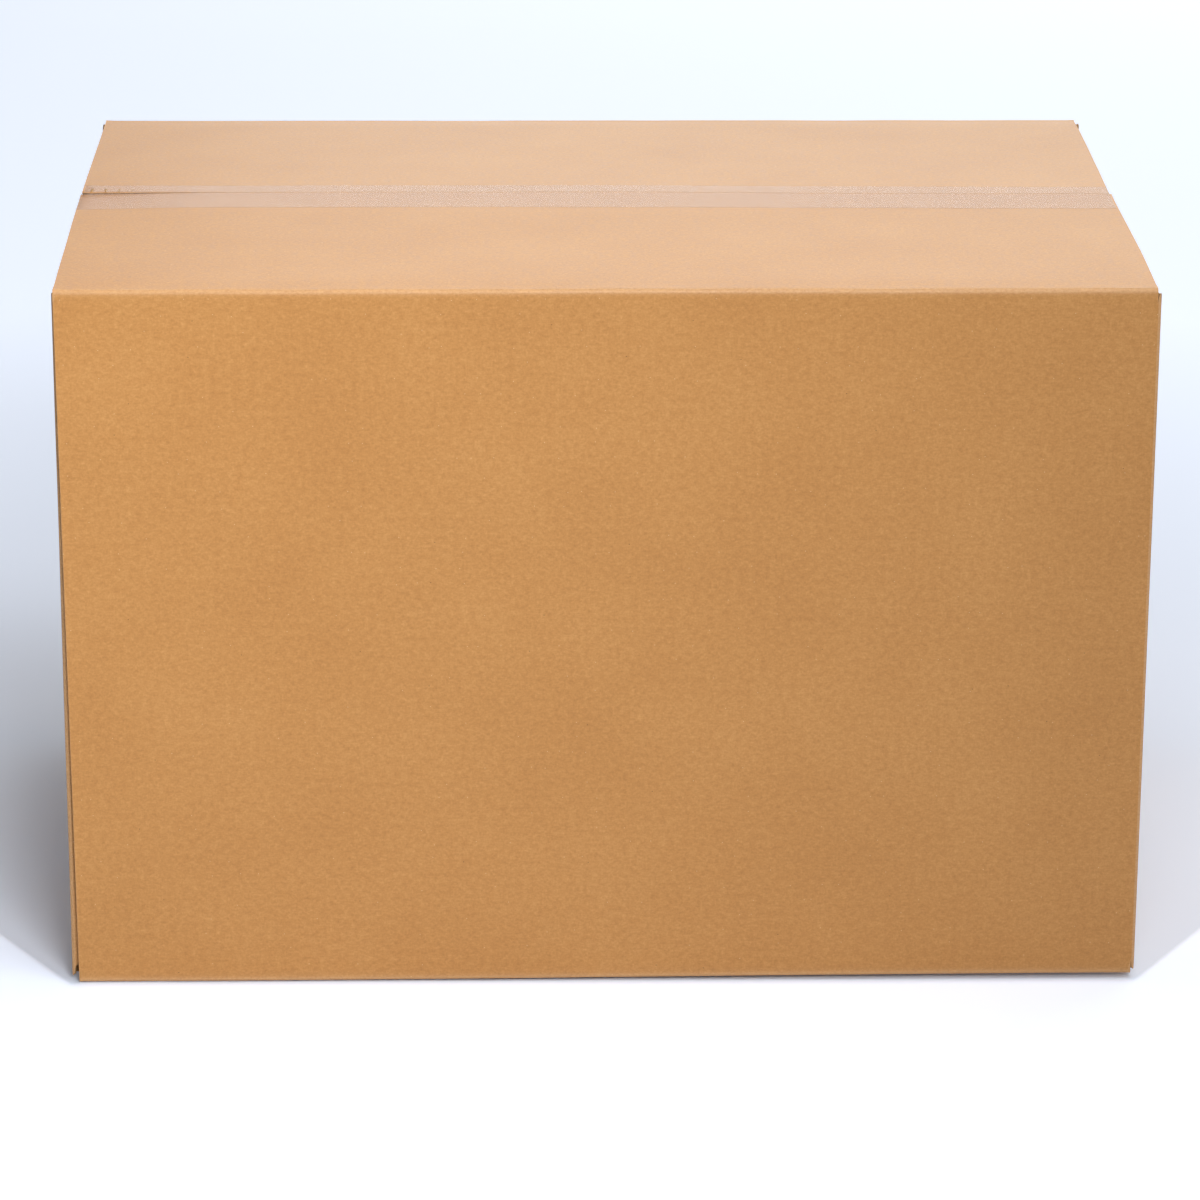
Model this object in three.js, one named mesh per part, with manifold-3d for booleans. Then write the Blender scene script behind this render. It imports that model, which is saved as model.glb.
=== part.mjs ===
// A closed and taped slotted carton: one folded blank of single-wall corrugated board and two strips of
// packing tape.
// Millimetres. X runs along the long sides, Y from front to back, and Z up from the surface it stands on.
// The origin is at the middle of the underside.
import * as THREE from 'three';
import { mergeVertices } from 'three/addons/utils/BufferGeometryUtils.js';
import Module from 'manifold-3d';

const wasm = await Module();
wasm.setup();

// Outside of the folded carton
const boxLength = 600;
const boxWidth = 400;
const creaseHeight = 404;
// How far the closed top flaps spring up at the seam between them
const seamRise = 4;

// Board and its folds
const board = 4;
const foldRadius = 3.5;
const beadRadius = 1.5;
// A cut along the flutes leaves an open channel between the two liners
const liner = 0.5;
const channelDepth = 1.6;

// Slots between the flaps, and the room that boards keep to each other
const longFlapInset = 3.5;
const flapClearance = 0.3;
const slotMargin = 0.5;
const seamGap = 1.6;

// Maker's joint at the front left corner: a tab glued inside the front panel, whose cut edge stays in
// sight. The panel was glued slightly askew, so that edge stands further in at the bottom than at the top.
const tabWidth = 38;
const tabTaper = 12;
const edgeInsetTop = 1.4;
const edgeInsetBottom = 4.6;

// Tape over the two seams, folded down the short sides and torn off on a toothed blade
const tapeWidth = 50;
const tapeThickness = 0.3;
const tapeClearance = 0.3;
const tapeDrop = 62;
const topTapeForward = 8;
const toothPitch = 3;
const toothDepth = 1.6;

// Angle between the points of an arc, and how far a cutting body stands past what it cuts
const arcStep = THREE.MathUtils.degToRad(10);
const overshoot = 5;

// Colours and finish
const kraft = { color: 0xc99b66, roughness: 0.88, metalness: 0 };
const clearTape = { color: 0xd9b78c, roughness: 0.32, metalness: 0 };

// Sizes that follow
const halfLength = boxLength / 2;
const halfWidth = boxWidth / 2;
const undersideHeight = tapeThickness;
const seamHeight = creaseHeight + seamRise;
const longFlapLength = (boxWidth - seamGap) / 2;
const shortFlapLength = Math.min(longFlapLength, (boxLength - seamGap) / 2);
const shortFlapInset = board + beadRadius;
const shortFoldTop = creaseHeight - board - flapClearance;
const shortFoldBottom = undersideHeight + board + flapClearance;
const slotEndTop = shortFoldTop - Math.max(board, foldRadius) - slotMargin;
const slotEndBottom = shortFoldBottom + Math.max(board, foldRadius) + slotMargin;
const flapSlope = seamRise / longFlapLength;

const point = (x, y) => new THREE.Vector2(x, y);

// Moves an open line to its left by a distance, with mitred corners.
function offsetLine(line, distance) {
  return line.map((corner, index) => {
    const before = line[Math.max(index - 1, 0)];
    const after = line[Math.min(index + 1, line.length - 1)];
    const isFirst = index === 0;
    const isLast = index === line.length - 1;
    const arriving = (isFirst ? after.clone().sub(corner) : corner.clone().sub(before)).normalize();
    const leaving = (isLast ? corner.clone().sub(before) : after.clone().sub(corner)).normalize();
    const normalIn = point(-arriving.y, arriving.x);
    const normalOut = point(-leaving.y, leaving.x);
    const mitre = normalIn.clone().add(normalOut).normalize();
    return corner.clone().addScaledVector(mitre, distance / mitre.dot(normalIn));
  });
}

// Gives the points of a rounded corner, or the corner itself where the radius is nothing.
function roundCorner(before, corner, after, radius) {
  if (radius <= 0) return [corner];
  const back = before.clone().sub(corner).normalize();
  const ahead = after.clone().sub(corner).normalize();
  const halfAngle = Math.acos(THREE.MathUtils.clamp(back.dot(ahead), -1, 1)) / 2;
  const towards = back.clone().add(ahead).normalize();
  const centre = corner.clone().addScaledVector(towards, radius / Math.sin(halfAngle));
  const reach = radius / Math.tan(halfAngle);
  const first = corner.clone().addScaledVector(back, reach).sub(centre);
  const last = corner.clone().addScaledVector(ahead, reach).sub(centre);
  const clockwise = back.cross(ahead) > 0;
  const arc = new THREE.ArcCurve(centre.x, centre.y, radius, first.angle(), last.angle(), clockwise);
  const steps = Math.max(1, Math.round((Math.PI - 2 * halfAngle) / arcStep));
  return arc.getPoints(steps);
}

// Section of a folded sheet: the line is its outer face, and the sheet lies to the left of the line.
function sheetSection(line, thickness, outerRadius, innerRadius) {
  const inner = offsetLine(line, thickness);
  const roundLine = (corners, radius) => corners.flatMap((corner, index) => (
    index === 0 || index === corners.length - 1
      ? [corner]
      : roundCorner(corners[index - 1], corner, corners[index + 1], radius)
  ));
  return [...roundLine(line, outerRadius), ...roundLine(inner, innerRadius).reverse()];
}

// Turns a geometry into a closed body that can be joined and cut.
function bodyOf(geometry) {
  geometry.deleteAttribute('normal');
  geometry.deleteAttribute('uv');
  const merged = mergeVertices(geometry);
  return new wasm.Manifold(new wasm.Mesh({
    numProp: 3,
    vertProperties: new Float32Array(merged.attributes.position.array),
    triVerts: new Uint32Array(merged.index.array),
  }));
}

// Extrudes a section, drawn on the first two axes, between two stations on the third.
function extrude(section, from, to, across, up, along) {
  const shape = new THREE.Shape(section);
  const geometry = new THREE.ExtrudeGeometry(shape, { depth: to - from, bevelEnabled: false });
  geometry.translate(0, 0, from);
  geometry.applyMatrix4(new THREE.Matrix4().makeBasis(across, up, along));
  return geometry;
}

const axisX = new THREE.Vector3(1, 0, 0);
const axisY = new THREE.Vector3(0, 1, 0);
const axisZ = new THREE.Vector3(0, 0, 1);
const backwards = axisY.clone().negate();

// Sections for the long sides are drawn in Y and Z, for the short sides in X and Z, and plans in X and Y.
const extrudeAlongX = (section, from, to) => extrude(section, from, to, axisY, axisZ, axisX);
const extrudeAlongY = (section, from, to) => extrude(section, -to, -from, axisX, axisZ, backwards);
const extrudeAlongZ = (section, from, to) => extrude(section, from, to, axisX, axisY, axisZ);

// Outer face of a long side with its two flaps, from the bottom seam to the top seam.
function longSideLine(side) {
  const seam = side * seamGap / 2;
  const face = side * halfWidth;
  return [
    point(seam, undersideHeight),
    point(face, undersideHeight),
    point(face, creaseHeight),
    point(seam, seamHeight),
  ];
}

// Outer face of a short side with its two flaps, which lie inside the long ones.
function shortSideLine(side) {
  const face = side * halfLength;
  const flapEnd = side * (halfLength - shortFlapLength);
  return [
    point(flapEnd, shortFoldBottom),
    point(face, shortFoldBottom),
    point(face, shortFoldTop),
    point(flapEnd, shortFoldTop),
  ];
}

// A section's sheet lies to the left of its line, so the lines on one hand are walked the other way.
const walkedLine = (line, side) => (side > 0 ? line : line.toReversed());

const foldedSection = (line, side) => sheetSection(walkedLine(line, side), board, foldRadius, beadRadius);

// The layer between the liners, which a cut along the flutes opens.
function flutedSection(line, side) {
  const underLiner = offsetLine(walkedLine(line, side), liner);
  return sheetSection(underLiner, board - 2 * liner, Math.max(foldRadius - liner, 0), beadRadius + liner);
}

// Everything left of the front panel's cut edge, moved along by a shift.
function leftOfEdge(shift) {
  const edgeAt = (height) => {
    const share = height / creaseHeight;
    return -halfLength + THREE.MathUtils.lerp(edgeInsetBottom, edgeInsetTop, share) + shift;
  };
  const outside = -halfLength - overshoot;
  const low = -overshoot;
  const high = seamHeight + overshoot;
  const outline = [
    point(outside, low),
    point(edgeAt(low), low),
    point(edgeAt(high), high),
    point(outside, high),
  ];
  return bodyOf(extrudeAlongY(outline, -halfWidth - overshoot, 0));
}

// The back side and its flaps, open at both cut ends.
function makeBackSide() {
  const line = longSideLine(1);
  const end = halfLength - longFlapInset;
  const sheet = bodyOf(extrudeAlongX(foldedSection(line, 1), -end, end));
  const fluted = flutedSection(line, 1);
  const leftChannel = bodyOf(extrudeAlongX(fluted, -end - overshoot, -end + channelDepth));
  const rightChannel = bodyOf(extrudeAlongX(fluted, end - channelDepth, end + overshoot));
  return sheet.subtract(leftChannel).subtract(rightChannel);
}

// The front side and its flaps. Its left end is the slanting edge of the maker's joint.
function makeFrontSide() {
  const line = longSideLine(-1);
  const end = halfLength - longFlapInset;
  const sheet = bodyOf(extrudeAlongX(foldedSection(line, -1), -halfLength, end));
  const fluted = flutedSection(line, -1);
  const rightChannel = bodyOf(extrudeAlongX(fluted, end - channelDepth, end + overshoot));
  const leftFluted = bodyOf(extrudeAlongX(fluted, -halfLength - overshoot, 0));
  const leftChannel = leftFluted.intersect(leftOfEdge(channelDepth));
  return sheet.subtract(leftOfEdge(0)).subtract(leftChannel).subtract(rightChannel);
}

// A short side and its flaps, which fold in first.
function makeShortSide(side) {
  const end = halfWidth - shortFlapInset;
  return bodyOf(extrudeAlongY(foldedSection(shortSideLine(side), side), -end, end));
}

// The four panels between the slots in plan: from the middle of the front, round three folds and the fold
// of the tab.
function makeWall() {
  const tabFace = -halfWidth + board;
  const plan = [
    point(0, -halfWidth),
    point(halfLength, -halfWidth),
    point(halfLength, halfWidth),
    point(-halfLength, halfWidth),
    point(-halfLength, tabFace),
    point(-halfLength + tabWidth, tabFace),
  ];
  const section = sheetSection(plan, board, foldRadius, beadRadius);
  const wall = bodyOf(extrudeAlongZ(section, slotEndBottom, slotEndTop));
  return wall.subtract(makeTabTaper(slotEndTop, -1)).subtract(makeTabTaper(slotEndBottom, 1));
}

// The corner that is cut off the tab at its top or its bottom.
function makeTabTaper(slotEnd, inwards) {
  const root = -halfLength + Math.max(board, foldRadius);
  const tip = -halfLength + tabWidth + overshoot;
  const run = tip - root;
  const fall = inwards * tabTaper * run / (tabWidth - Math.max(board, foldRadius));
  const beyond = slotEnd - inwards * overshoot;
  const outline = [
    point(root, beyond),
    point(root, slotEnd),
    point(tip, slotEnd + fall),
    point(tip, beyond),
  ];
  return bodyOf(extrudeAlongY(outline, -halfWidth, -halfWidth + 2 * board + overshoot));
}

function makeCarton() {
  return makeWall()
    .add(makeFrontSide())
    .add(makeBackSide())
    .add(makeShortSide(1))
    .add(makeShortSide(-1));
}

// Line of a tape's face on the board, from one short side over the seam to the other. It runs straight from
// the fold of the short flap to the end of whichever long flap reaches further out.
function tapeLine(seamFace, shortFold, edgeInset, tapeEnd) {
  const face = halfLength + tapeClearance;
  const left = -halfLength + Math.min(edgeInset, longFlapInset) - tapeClearance;
  const right = halfLength - longFlapInset + tapeClearance;
  return [
    point(-face, tapeEnd),
    point(-face, shortFold),
    point(left, seamFace),
    point(right, seamFace),
    point(face, shortFold),
    point(face, tapeEnd),
  ];
}

// Row of teeth that the blade leaves, as the body that is cut off the end of a tape.
function makeTeeth(centre, tapeEnd, inwards) {
  const count = Math.max(1, Math.round(tapeWidth / toothPitch));
  const pitch = tapeWidth / count;
  const start = centre - tapeWidth / 2;
  const beyond = tapeEnd - inwards * overshoot;
  const outline = [point(start - pitch, beyond), point(start - pitch, tapeEnd), point(start, tapeEnd)];
  for (let tooth = 0; tooth < count; tooth += 1) {
    outline.push(point(start + pitch * (tooth + 0.5), tapeEnd + inwards * toothDepth));
    outline.push(point(start + pitch * (tooth + 1), tapeEnd));
  }
  outline.push(point(start + tapeWidth + pitch, tapeEnd));
  outline.push(point(start + tapeWidth + pitch, beyond));
  return bodyOf(extrudeAlongX(outline, -halfLength - overshoot, halfLength + overshoot));
}

// The top tape follows the two slopes that meet at the seam, so it is extruded in two sheared lengths.
function makeTopTape() {
  const line = tapeLine(seamHeight + tapeClearance, shortFoldTop, edgeInsetTop, creaseHeight - tapeDrop);
  const section = sheetSection(line, tapeThickness, tapeClearance / 2, tapeThickness);
  const slopes = [
    { from: -topTapeForward - tapeWidth / 2, to: 0, rise: flapSlope },
    { from: 0, to: -topTapeForward + tapeWidth / 2, rise: -flapSlope },
  ];
  const lengths = slopes.map(({ from, to, rise }) => {
    const geometry = extrudeAlongY(section, from, to);
    geometry.applyMatrix4(new THREE.Matrix4().makeShear(0, 0, 0, rise, 0, 0));
    return bodyOf(geometry);
  });
  const strip = lengths[0].add(lengths[1]);
  return strip.subtract(makeTeeth(-topTapeForward, creaseHeight - tapeDrop, 1));
}

// The bottom tape lies flat against the underside, and the carton stands on it.
function makeBottomTape() {
  const line = tapeLine(undersideHeight, shortFoldBottom, edgeInsetBottom, tapeDrop);
  const section = sheetSection(line.toReversed(), tapeThickness, tapeClearance / 2, tapeThickness);
  const strip = bodyOf(extrudeAlongY(section, -tapeWidth / 2, tapeWidth / 2));
  return strip.subtract(makeTeeth(0, tapeDrop, -1));
}

function meshOf(body, name, finish) {
  const { vertProperties, triVerts } = body.getMesh();
  const geometry = new THREE.BufferGeometry();
  geometry.setAttribute('position', new THREE.BufferAttribute(vertProperties, 3));
  geometry.setIndex(new THREE.BufferAttribute(triVerts, 1));
  const mesh = new THREE.Mesh(geometry, new THREE.MeshStandardMaterial({ ...finish, flatShading: true }));
  mesh.name = name;
  return mesh;
}

const part = new THREE.Group();
part.add(
  meshOf(makeCarton(), 'carton', kraft),
  meshOf(makeTopTape(), 'top_tape', clearTape),
  meshOf(makeBottomTape(), 'bottom_tape', clearTape),
);

export default part;
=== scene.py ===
"""A closed and taped slotted carton of brown corrugated board, standing on a pale studio floor.

The carton is one blank. It is laid out flat as a grid of columns and rows, folded up, warped a little as
used board is, and given its thickness, with the cut edges open where the real ones are. The tapes, the wave
in the cut edges and the loose fibres on them follow the same folded and warped surface. All sizes are in
metres, in the frame's own axes.
"""

import logging
import math
from dataclasses import dataclass, field
from enum import Enum

import bmesh
import bpy
import numpy as np
from bmesh.types import BMEdge, BMesh, BMLayerItem, BMVert
from bpy.types import Material, Node, NodeSocket, NodeTree, Object
from mathutils import Matrix, Vector, noise


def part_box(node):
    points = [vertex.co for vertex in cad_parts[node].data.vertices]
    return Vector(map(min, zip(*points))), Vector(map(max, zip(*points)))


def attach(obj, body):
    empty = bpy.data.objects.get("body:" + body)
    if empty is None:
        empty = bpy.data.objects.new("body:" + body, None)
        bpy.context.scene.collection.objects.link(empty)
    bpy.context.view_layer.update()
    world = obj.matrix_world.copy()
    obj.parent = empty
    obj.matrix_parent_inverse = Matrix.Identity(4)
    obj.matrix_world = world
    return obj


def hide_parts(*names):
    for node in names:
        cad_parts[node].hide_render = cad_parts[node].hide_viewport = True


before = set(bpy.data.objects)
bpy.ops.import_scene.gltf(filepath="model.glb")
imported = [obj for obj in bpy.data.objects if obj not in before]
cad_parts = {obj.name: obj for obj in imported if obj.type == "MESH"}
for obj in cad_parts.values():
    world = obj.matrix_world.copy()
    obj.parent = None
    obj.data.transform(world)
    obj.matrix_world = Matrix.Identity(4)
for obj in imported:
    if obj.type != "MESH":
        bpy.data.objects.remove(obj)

MM = 0.001
# Lengths that differ by less than this are the same
SAME = 1e-6
# Length of the blank that one unit of its UV map spans
UV_SPAN = 2.2
SEAM_RISE = 4 * MM
TOP_TAPE_MIDDLE = -8 * MM
# How far inside the short flaps' folds the top and the bottom tape leave the wall
TOP_FOLD_ROOM = 2 * MM
BOTTOM_FOLD_ROOM = 0.4 * MM
# Values between which most of a noise texture lies
NOISE_RANGE = (0.3, 0.7)
log = logging.getLogger("carton")


class Finish(Enum):
    """Names of the material slots board and tape, which no piece here is given."""

    BOARD = "board"
    TAPE = "tape"


def linear(hex_code: str) -> tuple[float, float, float, float]:
    """Turns an sRGB hex colour into linear light.

    Args:
        hex_code: Six hex digits, with or without a leading hash.

    Returns:
        Red, green, blue and an alpha of one.
    """
    digits = hex_code.lstrip("#")
    channels = [int(digits[start:start + 2], 16) / 255 for start in (0, 2, 4)]
    lit = [value / 12.92 if value <= 0.04045 else ((value + 0.055) / 1.055) ** 2.4 for value in channels]
    return (*lit, 1.0)


def add_node(
    tree: NodeTree,
    kind: str,
    settings: dict[str, object] | None = None,
    inputs: dict[str | int, object] | None = None,
) -> Node:
    """Adds a node with its settings, its input values and its links.

    Args:
        tree: The node tree that takes the node.
        kind: The node's type, such as ShaderNodeMix.
        settings: Properties of the node by name.
        inputs: By socket name or number, either a socket to link from or a value.

    Returns:
        The new node.
    """
    node = tree.nodes.new(kind)
    for name, value in (settings or {}).items():
        setattr(node, name, value)
    for key, value in (inputs or {}).items():
        if isinstance(value, NodeSocket):
            tree.links.new(value, node.inputs[key])
        else:
            node.inputs[key].default_value = value
    return node


def math_node(
    tree: NodeTree, operation: str, *values: NodeSocket | float
) -> NodeSocket:
    """Adds a math node.

    Args:
        tree: The node tree that takes it.
        operation: The node's operation, such as MULTIPLY.
        values: What it works on, as sockets or numbers.

    Returns:
        Its result.
    """
    return add_node(tree, "ShaderNodeMath", {"operation": operation}, dict(enumerate(values))).outputs[0]


def map_range(
    tree: NodeTree,
    value: NodeSocket,
    source: tuple[float, float],
    target: tuple[float, float],
    interpolation: str = "LINEAR",
) -> NodeSocket:
    """Adds a node that turns one range of values into another.

    Args:
        tree: The node tree that takes it.
        value: The value to turn.
        source: The range that it comes from.
        target: The range that it goes to.
        interpolation: The shape of the change between the ranges' ends.

    Returns:
        The turned value.
    """
    return add_node(
        tree, "ShaderNodeMapRange", {"interpolation_type": interpolation},
        {"Value": value, "From Min": source[0], "From Max": source[1],
         "To Min": target[0], "To Max": target[1]},
    ).outputs[0]


def new_material(name: str) -> Material:
    """Makes a material with an empty node tree."""
    material = bpy.data.materials.new(name)
    material.use_nodes = True
    material.node_tree.nodes.clear()
    return material


def finish_material(tree: NodeTree, inputs: dict[str, object]) -> None:
    """Ends a material in one Principled surface.

    Args:
        tree: The material's node tree.
        inputs: The surface's inputs by name.
    """
    surface = add_node(tree, "ShaderNodeBsdfPrincipled", inputs=inputs)
    add_node(tree, "ShaderNodeOutputMaterial", inputs={"Surface": surface.outputs[0]})


def seen_or_mirrored(tree: NodeTree) -> NodeSocket:
    """Gives 1 for rays that see the camera's view, a reflection or what lies behind something, and else 0."""
    rays = add_node(tree, "ShaderNodeLightPath").outputs
    through = math_node(tree, "MAXIMUM", rays["Is Camera Ray"], rays["Is Transmission Ray"])
    return math_node(tree, "MAXIMUM", through, rays["Is Glossy Ray"])


def link_object(name: str, data: bpy.types.ID) -> Object:
    """Makes an object of some data and links it to the scene."""
    made = bpy.data.objects.new(name, data)
    bpy.context.scene.collection.objects.link(made)
    return made


def smooth_step(low: float, high: float, value: np.ndarray) -> np.ndarray:
    """Rises smoothly from 0 at low to 1 at high."""
    share = np.clip((value - low) / (high - low), 0.0, 1.0)
    return share * share * (3 - 2 * share)


def waviness(points: np.ndarray, wavelength: float, seed: float) -> np.ndarray:
    """Gives smooth noise between about -1 and 1 at each point.

    Args:
        points: Places, one row each.
        wavelength: Rough distance between bumps.
        seed: Shifts the noise, so that each use has its own.

    Returns:
        One value for each point.
    """
    shift = Vector((seed, 2.3 * seed, 3.7 * seed))
    return np.array([noise.noise(Vector(point) / wavelength + shift) for point in points])


def graded(start: float, end: float, near: float, far: float, growth: float = 1.5) -> list[float]:
    """Lists stations that are close together at both ends and wider apart between.

    Args:
        start: First station.
        end: Last station.
        near: Step next to the ends.
        far: Widest step.
        growth: Ratio of a step to the one before it.

    Returns:
        The stations in order, with both ends.
    """
    steps = []
    step = near
    while sum(steps) + step < (end - start) / 2:
        steps.append(step)
        step = min(step * growth, far)
    rising = np.cumsum([0.0, *steps]) * ((end - start) / 2 / (sum(steps) or 1.0))
    return [*(start + rising), *(end - rising[-2::-1])]


@dataclass(frozen=True)
class Board:
    """Single-wall corrugated board, and what cutting, scoring and folding leave of it."""

    thickness: float = 4.0 * MM
    scored: float = 2.1 * MM
    fold_radius: float = 2.2 * MM
    flute_pitch: float = 7.8 * MM
    liner: float = 0.35 * MM


@dataclass(frozen=True)
class Outside:
    """Outside of the folded carton, taken from the frame's own solid."""

    length: float
    width: float
    crease: float
    seam: float
    underside: float

    @classmethod
    def from_frame(cls, node: str, seam_rise: float) -> "Outside":
        """Reads the solid's corners.

        Args:
            node: Name of the frame's carton.
            seam_rise: How far the closed top rises from its creases to the seam.

        Returns:
            The outside sizes.
        """
        low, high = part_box(node)
        return cls(high[0] - low[0], high[1] - low[1], high[2] - seam_rise, high[2], low[2])


@dataclass(frozen=True)
class Warp:
    """How the folded carton differs from a perfect one: slack panels, lifted and pressed flaps, soft corners.

    A reach says how far a change spreads from its middle, and a noise holds its wavelength and seed. Other
    pairs say where a change starts and where it is full, mostly as shares of half the carton or its height.
    """

    outside: Outside
    panel_sag: float = 0.9 * MM
    sag_fall: float = 0.6
    sag_unevenness: float = 0.35
    sag_noise: tuple[float, float] = (0.35, 5.0)
    long_wall: tuple[float, float] = (0.90, 0.985)
    long_wall_end: tuple[float, float] = (0.97, 1.0)
    short_wall: tuple[float, float] = (0.93, 0.985)
    short_wall_end: tuple[float, float] = (0.95, 1.0)
    tape_pull: float = 1.6 * MM
    tape_reach: float = 70 * MM
    pulled_height: tuple[float, float] = (0.72, 1.0)
    pulled_wall: tuple[float, float] = (0.95, 0.995)
    top_below_crease: tuple[float, float] = (6 * MM, 1 * MM)
    right_seam_drop: float = 1.5 * MM
    dropped_length: tuple[float, float] = (-0.2, 1.0)
    near_corner_drop: float = 1.8 * MM
    near_corner_reach: float = 48 * MM
    seam_half_width: float = 0.8 * MM
    foot_lift: float = 2.6 * MM
    lifted_height: tuple[float, float] = (0.0, 0.35)
    lifted_length: tuple[float, float] = (-0.9, 1.0)
    lifted_width: tuple[float, float] = (0.35, 1.0)
    ripple: float = 0.22 * MM
    ripple_noise: tuple[float, float] = (0.075, 11.0)
    crease_wobble: float = 0.3 * MM
    crease_reach: float = 9 * MM
    crease_noise: tuple[float, float] = (0.045, 23.0)

    def apply(self, points: np.ndarray) -> np.ndarray:
        """Moves points of the perfect carton to where they are on this one.

        Args:
            points: Places on the perfect carton, one row each.

        Returns:
            The moved places.
        """
        box = self.outside
        x, y, z = points.T
        half_length, half_width = box.length / 2, box.width / 2
        along = np.clip(x / half_length, -1.0, 1.0)
        across = np.clip(y / half_width, -1.0, 1.0)
        up = np.clip((z - box.underside) / (box.crease - box.underside), 0.0, 1.0)
        belly = np.sin(math.pi * up)
        moved = points.copy()

        # Walls hang slightly inwards between their creases
        on_long = smooth_step(*self.long_wall, np.abs(across))
        on_long *= 1 - smooth_step(*self.long_wall_end, np.abs(along))
        on_short = smooth_step(*self.short_wall, np.abs(along))
        on_short *= 1 - smooth_step(*self.short_wall_end, np.abs(across))
        sag = self.panel_sag * belly * (1 + self.sag_unevenness * waviness(points, *self.sag_noise))
        moved[:, 1] -= np.sign(y) * on_long * sag * np.cos(along * math.pi / 2) ** self.sag_fall
        moved[:, 0] -= np.sign(x) * on_short * sag * np.cos(across * math.pi / 2) ** self.sag_fall

        # The tape draws the right wall's top crease in
        near_tape = np.exp(-((y - TOP_TAPE_MIDDLE) / self.tape_reach) ** 2)
        near_tape *= smooth_step(*self.pulled_height, up)
        moved[:, 0] -= self.tape_pull * near_tape * smooth_step(*self.pulled_wall, along)

        # The top is lower at its right end, and the near flap's left corner is pressed down under the far one
        on_top = smooth_step(*(box.crease - below for below in self.top_below_crease), z)
        to_seam = 1 - np.abs(across)
        near_side = 1 - smooth_step(-self.seam_half_width, self.seam_half_width, y)
        pressed = np.exp(-((x + half_length) / self.near_corner_reach) ** 2)
        moved[:, 2] -= on_top * to_seam * self.right_seam_drop * smooth_step(*self.dropped_length, along)
        moved[:, 2] -= on_top * to_seam ** 2 * self.near_corner_drop * pressed * near_side

        # The front right of the underside is off the floor by the thickness of a coin
        low = 1 - smooth_step(*self.lifted_height, up)
        lift = smooth_step(*self.lifted_length, along) * smooth_step(*self.lifted_width, -across)
        moved[:, 2] += self.foot_lift * lift * low

        # Slow ripples of the board, and uneven creases
        inward = np.stack([-np.sign(x) * on_short, -np.sign(y) * on_long, -on_top], 1)
        moved += inward * (self.ripple * (1 + waviness(points, *self.ripple_noise)))[:, None]
        near_crease = np.exp(-((z - box.crease) / self.crease_reach) ** 2) * on_long
        moved[:, 2] -= near_crease * self.crease_wobble * (1 + waviness(points, *self.crease_noise))
        return moved


@dataclass(frozen=True)
class Column:
    """A line of the blank from flap edge to flap edge: where it stands in plan once folded.

    The ear is the share by which it reaches past the slots' ends, where two folds meet.
    """

    run: float
    place: Vector
    inward: Vector
    panel: str
    opens: bool
    is_score: bool = False
    ear: float = 0.0


@dataclass(frozen=True)
class Row:
    """A line of the blank round the carton: its depth inside the wall's face, its height and its run."""

    inset: float
    height: float
    run: float
    is_score: bool


@dataclass(frozen=True)
class Cut:
    """One stretch of cut edge: points amid the board's thickness, the ways out of the sheet and across it."""

    points: np.ndarray
    outwards: np.ndarray
    across: np.ndarray


@dataclass(frozen=True)
class FlapEdge:
    """One edge of a top or bottom flap: its left end at -1, its right end at 1, or its seam edge."""

    top: bool
    side: int | None = None


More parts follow.
